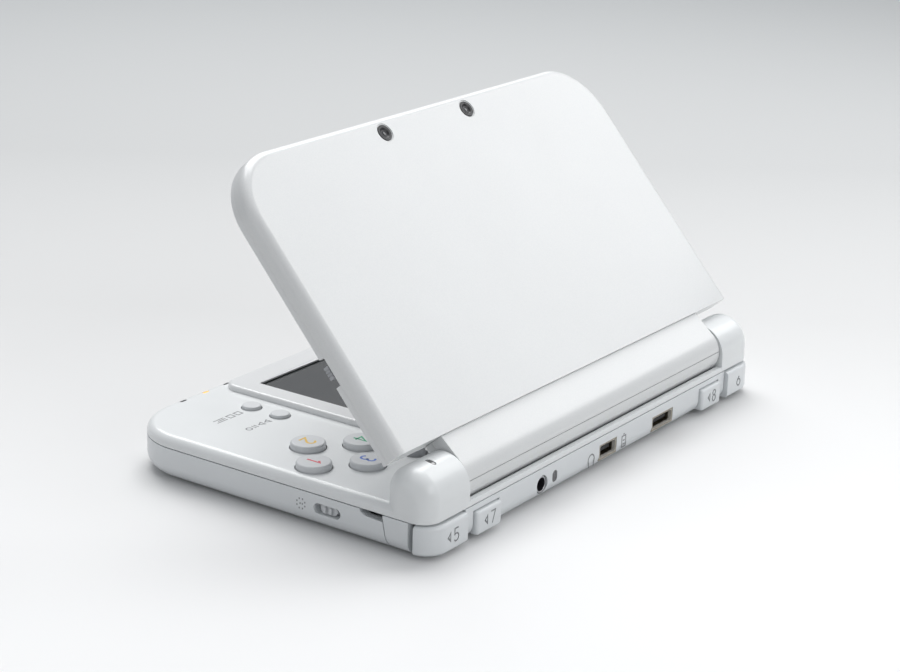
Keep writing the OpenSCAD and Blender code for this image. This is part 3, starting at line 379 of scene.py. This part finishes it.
def refined(node, edge, merged):
    """A copy of a CAD node with its sharp edges softened, standing for the node."""
    mesh = frame["nodes"][node].data.copy()
    shape = bmesh.new()
    shape.from_mesh(mesh)
    bmesh.ops.remove_doubles(shape, verts=shape.verts, dist=SAME_PLACE)
    if merged:
        bmesh.ops.dissolve_limit(
            shape, angle_limit=FLAT_ANGLE, verts=shape.verts, edges=shape.edges)
    shape.to_mesh(mesh)
    shape.free()
    smooth(mesh)
    obj = add_object(
        node + "_finished", mesh, finish_of(node), NODE_BODY[node])
    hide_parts(node)
    bevel = obj.modifiers.new("edges", "BEVEL")
    bevel.width = edge
    bevel.segments = 2
    bevel.limit_method = "ANGLE"
    bevel.angle_limit = EDGE_ANGLE
    bevel.harden_normals = True
    bevel.miter_outer = "MITER_ARC"
    even_normals(obj)
    return obj


# How far each visible node's edges are softened, in millimetres
EDGES = {
    "lid_cover": 0.2, "lid_frame": 0.2,
    "upper_case": 0.25, "lower_case": 0.15, "bottom_cover": 0.15, "touch_frame": 0.2,
    "hinge_cover_rear": 0.15, "hinge_cover_front": 0.15,
    "shoulder_button_right": 0.3, "shoulder_button_left": 0.3,
    "trigger_button_right": 0.3, "trigger_button_left": 0.3,
    "circle_pad": 0.2, "direction_pad": 0.35, "home_button": 0.25,
    "side_switch": 0.15, "power_button": 0.25,
    "charge_port": 0.1, "accessory_port": 0.1,
    "outer_cameras": 0.08, "status_lights": 0.08,
}
# Merged faces would close a port's ring over, and leave slivers along the lid's round rim
UNMERGED = {"charge_port", "accessory_port", "lid_cover"}
FINISHED = {
    node_name: refined(node_name, edge_mm * MM, merged=node_name not in UNMERGED)
    for node_name, edge_mm in EDGES.items()
}


# ------------------------------------------------------------------ strokes

def arc(x, y, radius, start, end, steps=16):
    """Points along an arc between two angles in degrees."""
    angles = [math.radians(start + (end - start) * i / steps) for i in range(steps + 1)]
    return [(x + radius * math.cos(a), y + radius * math.sin(a)) for a in angles]


# Strokes of the numerals and signs, in heights of the numeral or sign
DIGITS = {
    1: [[(-0.17, 0.28), (0.05, 0.5), (0.05, -0.5)]],
    2: [arc(0, 0.22, 0.28, 165, -38) + [(-0.28, -0.5), (0.31, -0.5)]],
    3: [arc(-0.02, 0.245, 0.25, 150, -82), arc(-0.02, -0.225, 0.275, 82, -150)],
    4: [[(0.14, -0.5), (0.14, 0.5), (-0.3, -0.2), (0.33, -0.2)]],
    5: [[(0.25, 0.5), (-0.2, 0.5), (-0.21, 0.02)], arc(-0.02, -0.2, 0.3, 140, -145)],
    6: [arc(0, -0.21, 0.29, 90, 450, 24), arc(0.24, -0.2, 0.53, 178, 105, 8)],
    7: [[(-0.28, 0.5), (0.3, 0.5), (-0.08, -0.5)]],
    8: [arc(0, 0.26, 0.23, -90, 270, 24), arc(0, -0.24, 0.27, 90, 450, 24)],
}
POINTER = [[(0.16, 0.32), (-0.16, 0.0), (0.16, -0.32), (0.16, 0.32)]]
MENU = [
    [(-1.9, 0.35), (-1.9, -0.35), (-1.2, -0.35), (-1.2, 0.35), (-1.9, 0.35)],
    [(-0.75, 0.35), (-0.75, -0.35), (-0.05, -0.35), (-0.05, 0.35), (-0.75, 0.35)],
    [(0.4, 0.3), (1.9, 0.3)],
    [(0.4, 0.0), (1.5, 0.0)],
    [(0.4, -0.3), (1.9, -0.3)],
]
PLAY = [
    [(-1.9, 0.38), (-1.9, -0.38), (-1.25, 0.0), (-1.9, 0.38)],
    [(-0.85, 0.38), (-0.85, -0.38), (-0.2, 0.0), (-0.85, 0.38)],
    [(0.3, 0.38), (0.3, -0.38)],
    [(0.7, 0.38), (0.7, -0.38)],
    arc(1.5, 0, 0.36, 0, 360, 20),
]
HEADPHONES = [
    arc(0, 0.02, 0.4, 205, -25, 18),
    [(-0.36, -0.14), (-0.3, -0.5)],
    [(0.36, -0.14), (0.3, -0.5)],
]
CELL = [
    [(-0.26, 0.36), (-0.26, -0.48), (0.26, -0.48), (0.26, 0.36), (-0.26, 0.36)],
    [(-0.1, 0.5), (0.1, 0.5)],
    [(-0.12, -0.26), (0.12, -0.26)],
    [(-0.12, 0.02), (0.12, 0.02)],
]
DOTS = [
    [(0.5 * math.cos(a) - 0.07, 0.5 * math.sin(a)), (0.5 * math.cos(a) + 0.07, 0.5 * math.sin(a))]
    for a in (math.radians(45 * i + 22.5) for i in range(8))
] + [[(-0.16, 0), (-0.02, 0)], [(0.1, 0), (0.24, 0)]]


# A mitre reaches no further than half the width over this
MITRE_LIMIT = 0.45


def stroke_edges(points, width):
    """The two mitred edges of a stroke of even width."""
    closed = (Vector(points[0]) - Vector(points[-1])).length < SAME_PLACE
    line = [Vector(p) for p in points]
    if closed:
        line = line[:-1]
    count = len(line)
    left, right = [], []
    for i, point in enumerate(line):
        before = line[i - 1] if closed or i > 0 else None
        after = line[(i + 1) % count] if closed or i < count - 1 else None
        into = (point - before).normalized() if before is not None else None
        out = (after - point).normalized() if after is not None else None
        into, out = into or out, out or into
        normal = Vector((-(into + out).y, (into + out).x)).normalized()
        reach = width / 2 / max(normal.dot(Vector((-into.y, into.x))), MITRE_LIMIT)
        left.append(point + normal * reach)
        right.append(point - normal * reach)
    return left, right, closed


def strokes_mesh(name, strokes, width, low, high, place):
    """Strokes as closed prisms from height low to high over a plane set by place."""
    vertices, faces = [], []
    for points in strokes:
        left, right, closed = stroke_edges(points, width)
        first, count = len(vertices), len(left)
        for a, b in zip(left, right):
            for edge, height in ((a, high), (b, high), (b, low), (a, low)):
                vertices.append(place @ Vector((edge.x, edge.y, height)))
        for i in range(count if closed else count - 1):
            a, b = first + 4 * i, first + 4 * ((i + 1) % count)
            for k in range(4):
                faces.append((a + k, a + (k + 1) % 4, b + (k + 1) % 4, b + k))
        if not closed:
            last = first + 4 * (count - 1)
            faces.append((first + 3, first + 2, first + 1, first))
            faces.append((last, last + 1, last + 2, last + 3))
    mesh = bpy.data.meshes.new(name)
    mesh.from_pydata(vertices, [], faces)
    outward(mesh)
    return mesh


def facing(right, up, centre_mm):
    """A plane's matrix from its right and up directions and its middle in millimetres."""
    right, up = Vector(right), Vector(up)
    turn = Matrix((right, up, right.cross(up))).transposed().to_4x4()
    return Matrix.Translation(Vector(centre_mm) * MM) @ turn


# Right and up directions of planes that face up, back and to the right
UPWARD = ((1, 0, 0), (0, 1, 0))
BACKWARD = ((-1, 0, 0), (0, 0, 1))
RIGHTWARD = ((0, 1, 0), (0, 0, 1))


def scaled_strokes(strokes, size, shift=(0, 0)):
    """The strokes at a size, and then shifted."""
    return [[(x * size + shift[0], y * size + shift[1]) for x, y in line] for line in strokes]


def printed(name, strokes, size, width, place, material, body, height=0.02 * MM):
    """A thin print on a flat face."""
    mesh = strokes_mesh(name, scaled_strokes(strokes, size), width, -height, height, place)
    add_object(name, mesh, material, body)


def bake(obj):
    """Turns the object's modifiers into its mesh."""
    shown = obj.evaluated_get(bpy.context.evaluated_depsgraph_get())
    mesh = bpy.data.meshes.new_from_object(shown)
    obj.modifiers.clear()
    obj.data = mesh


def engrave(obj, strokes, width, depth, place):
    """Cuts strokes one after another into a finished piece, and lines the cuts with painted shade."""
    bake(obj)
    for stroke in strokes:
        cutter_mesh = strokes_mesh(obj.name + "_cut", [stroke], width, -depth, depth, place)
        cutter_mesh.materials.append(CUT_SHADE)
        cutter = bpy.data.objects.new(obj.name + "_cut", cutter_mesh)
        scene.collection.objects.link(cutter)
        cut = obj.modifiers.new("cut", "BOOLEAN")
        cut.operation = "DIFFERENCE"
        cut.solver = "EXACT"
        cut.material_mode = "TRANSFER"
        cut.object = cutter
        bpy.context.view_layer.update()
        bake(obj)
        bpy.data.objects.remove(cutter)
    smooth(obj.data)
    even_normals(obj)


# ------------------------------------------------------------------ marks

# Numerals on the action buttons, with their inks
DIGIT_SIZE = 4.0 * MM
DIGIT_STROKE = 0.62 * MM
ACTION_MARKS = {
    "action_button_right": (1, "red"),
    "action_button_front": (2, "yellow"),
    "action_button_back": (3, "blue"),
    "action_button_left": (4, "green"),
}
for node_name, (digit, ink) in ACTION_MARKS.items():
    low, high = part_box(node_name)
    top = Vector(((low.x + high.x) / 2, (low.y + high.y) / 2, high.z)) / MM
    printed("digit_" + node_name, DIGITS[digit], DIGIT_SIZE, DIGIT_STROKE,
            facing(*UPWARD, top), INKS[ink], NODE_BODY[node_name])

# Pictograms beside the two small buttons, on the deck, with their sizes in millimetres. A sign
# reaches 1.9 of its sizes to each side of its middle
SIGN_STROKE = 0.36 * MM
SIGN_GAP_MM = 1.4
SIGN_REACH = 1.9
for node_name, marks, size in (("select_button", MENU, 2.6), ("start_button", PLAY, 2.3)):
    low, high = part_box(node_name)
    centre = Vector((
        high.x / MM + SIGN_GAP_MM + SIGN_REACH * size,
        (low.y + high.y) / 2 / MM,
        DECK_Z / MM,
    ))
    printed("sign_" + node_name, marks, size * MM, SIGN_STROKE,
            facing(*UPWARD, centre), INK_GREY, "base")

# Pictograms beside the rear sockets and the side switch. The switch's lies on the widest part of
# the model, so it is printed thinner
REAR_SIGN_SIZE = 3.7 * MM
printed("sign_headphones", HEADPHONES, REAR_SIGN_SIZE, 0.4 * MM,
        facing(*BACKWARD, (7.0, BACK_Y / MM, 4.3)), INK_GREY, "base")
printed("sign_charging", CELL, REAR_SIGN_SIZE, SIGN_STROKE,
        facing(*BACKWARD, (-9.4, BACK_Y / MM, 4.9)), INK_GREY, "base")
printed("sign_switch", DOTS, 2.7 * MM, 0.45 * MM,
        facing(*RIGHTWARD, (SIDE_X / MM, 10.6, 5.85)), INK_GREY, "base", height=0.002 * MM)

# Numerals cut into the corner and inner buttons, their cuts lined with painted shade: digit, whether a pointer
# stands before it, x in mm
CUT_SIZE = 3.3 * MM
CUT_STROKE = 0.42 * MM
CUT_DEPTH = 0.22 * MM
DIGIT_SHIFT = 1.3 * MM
POINTER_SHIFT = -1.6 * MM
REAR_MARKS = {
    "shoulder_button_right": (5, True, 71.2),
    "trigger_button_right": (7, True, 55.6),
    "trigger_button_left": (8, True, -55.6),
    "shoulder_button_left": (6, False, -71.4),
}
for node_name, (digit, with_pointer, x_mm) in REAR_MARKS.items():
    low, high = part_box(node_name)
    middle_z = (low.z + high.z) / 2 / MM
    shift = DIGIT_SHIFT if with_pointer else 0.0
    strokes = scaled_strokes(DIGITS[digit], CUT_SIZE, (shift, 0))
    if with_pointer:
        strokes += scaled_strokes(POINTER, CUT_SIZE, (POINTER_SHIFT, 0))
    engrave(FINISHED[node_name], strokes, CUT_STROKE, CUT_DEPTH,
            facing(*BACKWARD, (x_mm, high.y / MM, middle_z)))

# The fine seam along the back of the barrel, a little above its middle, lined with painted shade
SEAM_ANGLE = math.radians(4.3)
SEAM_W = 0.16 * MM
seam_out = Vector((0, math.cos(SEAM_ANGLE), math.sin(SEAM_ANGLE)))
seam_up = Vector((0, -math.sin(SEAM_ANGLE), math.cos(SEAM_ANGLE)))
barrel_low, barrel_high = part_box("hinge_cover_rear")
seam_place = facing((-1, 0, 0), seam_up, HINGE / MM + seam_out * BARREL_R_MM)
engrave(FINISHED["hinge_cover_rear"], [[(barrel_low.x - MM, 0), (barrel_high.x + MM, 0)]],
        SEAM_W, SEAM_W, seam_place)


# ------------------------------------------------------------------ sockets, lenses and lights

LATHE_STEPS = 48


def lathe(name, profile, place, material, body):
    """A turned piece from (radius, height) points in millimetres about the plane's normal."""
    vertices, faces, rings = [], [], []
    for radius, height in profile:
        if radius == 0:
            rings.append([len(vertices)])
            vertices.append(place @ Vector((0, 0, height * MM)))
            continue
        rings.append(list(range(len(vertices), len(vertices) + LATHE_STEPS)))
        for i in range(LATHE_STEPS):
            a = 2 * math.pi * i / LATHE_STEPS
            x, y = radius * MM * math.cos(a), radius * MM * math.sin(a)
            vertices.append(place @ Vector((x, y, height * MM)))
    for a, b in zip(rings, rings[1:]):
        for i in range(LATHE_STEPS):
            quad = [a[i % len(a)], a[(i + 1) % len(a)], b[(i + 1) % len(b)], b[i % len(b)]]
            face = list(dict.fromkeys(quad))
            if len(face) > 2:
                faces.append(face)
    mesh = bpy.data.meshes.new(name)
    mesh.from_pydata(vertices, [], faces)
    outward(mesh)
    smooth(mesh, 28)
    add_object(name, mesh, material, body)


def refinish(obj, material, chosen):
    """Gives the faces whose middle passes the test another material."""
    obj.data.materials.append(material)
    index = len(obj.data.materials) - 1
    for face in obj.data.polygons:
        if chosen(face.center):
            face.material_index = index


# How many contacts each face of a socket's tongue has
CONTACTS = {"charge_port": 5, "accessory_port": 8}
# From the socket's side to the tongue's, and on to the middle of the first contact
TONGUE_INSET = 1.6 * MM
CONTACT_INSET = 0.4 * MM
# The tongue's half height, and how far its contacts reach over and under its faces
TONGUE_FACE = 0.5 * MM
CONTACT_HALF = 0.02 * MM
CONTACT_W = 0.34 * MM
# A contact's two ends, from the socket's mouth
CONTACT_ENDS = (-4.6 * MM, -1.55 * MM)
# How far a lip's middle line runs inside the socket's outline, and the radius of its corners
LIP_INSET_MM = 0.28
LIP_CORNER_MM = 0.75
LIP_W = 0.5 * MM
LIP_BACK = -1.1 * MM
LIP_FRONT = -0.03 * MM


def blacken_tongue(node_name, low, high):
    """Gives the tongue in a socket a black finish of its own."""
    centre = (low + high) / 2
    reach_x = (high.x - low.x) / 2 - TONGUE_INSET + 0.1 * MM
    reach_z = TONGUE_FACE + 0.1 * MM
    back, front = low.y + 1.2 * MM, high.y - 0.3 * MM
    refinish(
        FINISHED[node_name], MATERIALS["black_plastic"],
        lambda at: abs(at.x - centre.x) < reach_x and abs(at.z - centre.z) < reach_z
        and back < at.y < front,
    )


def port_lip(node_name, low, high):
    """A bright lip round the mouth of a socket."""
    centre = (low + high) / 2
    corner_x = (high.x - low.x) / 2 / MM - LIP_INSET_MM - LIP_CORNER_MM
    corner_z = (high.z - low.z) / 2 / MM - LIP_INSET_MM - LIP_CORNER_MM
    lip = []
    for quarter, (side_x, side_z) in enumerate(((1, 1), (-1, 1), (-1, -1), (1, -1))):
        lip += arc(side_x * corner_x, side_z * corner_z, LIP_CORNER_MM,
                   90 * quarter, 90 * quarter + 90, 6)
    lip.append(lip[0])
    mesh = strokes_mesh("lip", scaled_strokes([lip], MM), LIP_W, LIP_BACK, LIP_FRONT,
                        facing(*BACKWARD, Vector((centre.x, high.y, centre.z)) / MM))
    smooth(mesh)
    add_object("lip_" + node_name, mesh, PORT_LIP, "base")


def port_contacts(node_name, low, high, count):
    """Gold strips on both faces of a socket's tongue."""
    centre = (low + high) / 2
    first = CONTACT_INSET - ((high.x - low.x) / 2 - TONGUE_INSET)
    spacing = -2 * first / (count - 1)
    strips = [[(first + spacing * i, end) for end in CONTACT_ENDS] for i in range(count)]
    place = Matrix.Translation(Vector((centre.x, high.y, centre.z)))
    for side, face in (("lower", -TONGUE_FACE), ("upper", TONGUE_FACE)):
        mesh = strokes_mesh(
            "contacts", strips, CONTACT_W, face - CONTACT_HALF, face + CONTACT_HALF, place)
        add_object("contacts_%s_%s" % (node_name, side), mesh, GOLD, "base")


for node_name, count in CONTACTS.items():
    low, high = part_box(node_name)
    blacken_tongue(node_name, low, high)
    port_lip(node_name, low, high)
    port_contacts(node_name, low, high, count)

# Profiles of the turned pieces: radii and heights in millimetres
JACK_COLLAR = [(1.84, -0.6), (1.84, 0.0), (1.9, 0.06), (2.12, 0.06), (2.2, 0.0), (2.2, -0.02)]
CAMERA_RIM = [
    (2.06, -0.05), (2.06, 0.02), (2.14, 0.07), (2.26, 0.07), (2.34, 0.02), (2.34, -0.05),
]
CAMERA_IRIS = [(0.55, -0.47), (0.75, -0.4), (1.0, -0.42), (1.12, -0.52)]
CAMERA_LENS = [(0, -0.3), (0.2, -0.305), (0.4, -0.33), (0.6, -0.375), (0.85, -0.46), (1.0, -0.55)]
INNER_BEZEL = [
    (0.7, -0.16), (0.8, -0.09), (1.05, -0.04), (1.72, -0.02), (1.84, -0.07), (1.84, -0.5),
]
INNER_LENS = [(0, -0.06), (0.3, -0.065), (0.55, -0.09), (0.8, -0.16)]

jack_low, jack_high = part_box("audio_jack")
jack_mouth = (
    (jack_low.x + jack_high.x) / 2 / MM,
    jack_high.y / MM,
    (jack_low.z + jack_high.z) / 2 / MM,
)
lathe("jack_collar", JACK_COLLAR, facing(*BACKWARD, jack_mouth),
      MATERIALS["steel"], "base")

for tag, side in (("left", -1), ("right", 1)):
    face = LID @ Vector((side * CAMERA_X, -CAMERA_S, CAMERA_TOP))
    place = Matrix.Translation(face) @ LID.to_3x3().to_4x4()
    lathe("camera_rim_" + tag, CAMERA_RIM, place, MATERIALS["panel_dark"], "lid")
    lathe("camera_iris_" + tag, CAMERA_IRIS, place, MATERIALS["panel_dark"], "lid")
    lathe("camera_lens_" + tag, CAMERA_LENS, place, LENS_GLASS, "lid")

# The inner camera's bezel and lens, between the speakers above the upper screen
inner_place = LID @ facing((1, 0, 0), (0, -1, 0), (0, -CAMERA_S / MM, LID_INSIDE / MM))
lathe("inner_camera_bezel", INNER_BEZEL, inner_place,
      MATERIALS["panel_dark"], "lid")
lathe("inner_camera_lens", INNER_LENS, inner_place, LENS_GLASS, "lid")

refinish(FINISHED["status_lights"], MATERIALS["panel_dark"],
         lambda at: abs(at.x - LIT_LAMP_X) > LAMP_REACH)


# ------------------------------------------------------------------ floor, light and camera

SKY_COLOUR = (0.93, 0.96, 1.0, 1)
SKY_STRENGTH = 0.36


def world_light():
    """A weak cool light from all around."""
    world = bpy.data.worlds.new("studio")
    scene.world = world
    world.use_nodes = True
    background = world.node_tree.nodes["Background"]
    background.inputs["Color"].default_value = SKY_COLOUR
    background.inputs["Strength"].default_value = SKY_STRENGTH


def area_light(name, place, target, size, power):
    """A rectangular lamp aimed at a point, with its power in watts."""
    data = bpy.data.lights.new(name, "AREA")
    data.shape = "RECTANGLE"
    data.size, data.size_y = size
    data.energy = power
    obj = bpy.data.objects.new(name, data)
    scene.collection.objects.link(obj)
    obj.location = place
    aim = Vector(target) - Vector(place)
    obj.rotation_euler = aim.to_track_quat("-Z", "Y").to_euler()


# The photo's view: round from the hinge's side towards the right, up, and turned about its axis
VIEW_AZIMUTH = math.radians(54.9)
VIEW_ELEVATION = math.radians(18.7)
VIEW_ROLL = math.radians(1.43)
VIEW_DISTANCE = 0.6134
VIEW_TARGET = Vector((-2.79, -3.85, 24.7)) * MM
FRAME_PIXELS = 900
FOCAL_PIXELS = 2217.0


def photo_camera():
    """A camera that stands where the photo was taken from."""
    data = bpy.data.cameras.new("photo_camera")
    data.sensor_width = 36
    data.lens = data.sensor_width * FOCAL_PIXELS / FRAME_PIXELS
    data.clip_start = 0.01
    obj = bpy.data.objects.new("photo_camera", data)
    scene.collection.objects.link(obj)
    back = Vector((
        math.sin(VIEW_AZIMUTH) * math.cos(VIEW_ELEVATION),
        math.cos(VIEW_AZIMUTH) * math.cos(VIEW_ELEVATION),
        math.sin(VIEW_ELEVATION),
    ))
    right = (-back).cross(Vector((0, 0, 1))).normalized()
    up = right.cross(-back)
    turned_right = right * math.cos(VIEW_ROLL) + up * math.sin(VIEW_ROLL)
    turned_up = up * math.cos(VIEW_ROLL) - right * math.sin(VIEW_ROLL)
    rotation = Matrix((turned_right, turned_up, back)).transposed().to_4x4()
    obj.matrix_world = Matrix.Translation(VIEW_TARGET + back * VIEW_DISTANCE) @ rotation
    scene.camera = obj


FLOOR_HALF = 12.0
# How bright the floor is for every ray but the camera's
FLOOR_BOUNCE = 0.62
# The floor's painted shade, which only the camera sees, runs between two distances towards the viewer
TONE_START = 0.2
TONE_END = -0.8
FLOOR_TONES = [
    (0.0, (0.875, 0.875, 0.875)),
    (0.12, (0.845, 0.845, 0.845)),
    (0.3, (0.625, 0.627, 0.627)),
    (0.5, (0.485, 0.491, 0.493)),
    (1.0, (0.375, 0.387, 0.393)),
]


def floor():
    """A wide pale floor with painted shade that makes it greyer away from the viewer."""
    mesh = bpy.data.meshes.new("floor")
    corners = [
        (x * FLOOR_HALF, y * FLOOR_HALF, 0) for x, y in ((-1, -1), (1, -1), (1, 1), (-1, 1))
    ]
    mesh.from_pydata(corners, [], [(0, 1, 2, 3)])
    obj = bpy.data.objects.new("floor", mesh)
    scene.collection.objects.link(obj)
    m = Nodes("floor_painted_falloff")
    along = m.new("ShaderNodeMapping")
    along.inputs["Rotation"].default_value = (0, 0, VIEW_AZIMUTH)
    m.link(m.place, along.inputs["Vector"])
    split = m.new("ShaderNodeSeparateXYZ")
    m.link(along.outputs["Vector"], split.inputs["Vector"])
    reach = m.new("ShaderNodeMapRange")
    reach.inputs["From Min"].default_value = TONE_START
    reach.inputs["From Max"].default_value = TONE_END
    m.link(split.outputs["Y"], reach.inputs["Value"])
    tone = m.ramp(reach.outputs["Result"], FLOOR_TONES)
    seen = m.new("ShaderNodeMix", data_type="RGBA")
    seen.inputs["A"].default_value = (FLOOR_BOUNCE, FLOOR_BOUNCE, FLOOR_BOUNCE, 1)
    m.link(m.new("ShaderNodeLightPath").outputs["Is Camera Ray"], seen.inputs["Factor"])
    m.link(tone, seen.inputs["B"])
    m.set(Base_Color=seen.outputs["Result"], Roughness=0.9)
    m.shader.inputs["Specular IOR Level"].default_value = 0.1
    paint(obj, m.material)


world_light()
# Name, place, the point aimed at, size and power
area_light("top_soft", (-0.1, 0.1, 0.95), (0, 0, 0), (1.0, 1.0), 0.9)
area_light("front_soft", (-0.42, -0.42, 0.85), (0, 0, 0), (0.9, 0.9), 10.2)
area_light("right_key", (-0.5, 0.2, 0.42), (0, 0, 0.05), (0.35, 0.35), 0.9)
area_light("back_soft", (0.0, 0.9, 0.5), (0, 0, 0.03), (0.8, 0.4), 2.35)
area_light("left_fill", (1.0, -0.25, 0.28), (0, 0, 0.02), (0.8, 0.4), 0.75)
photo_camera()
floor()
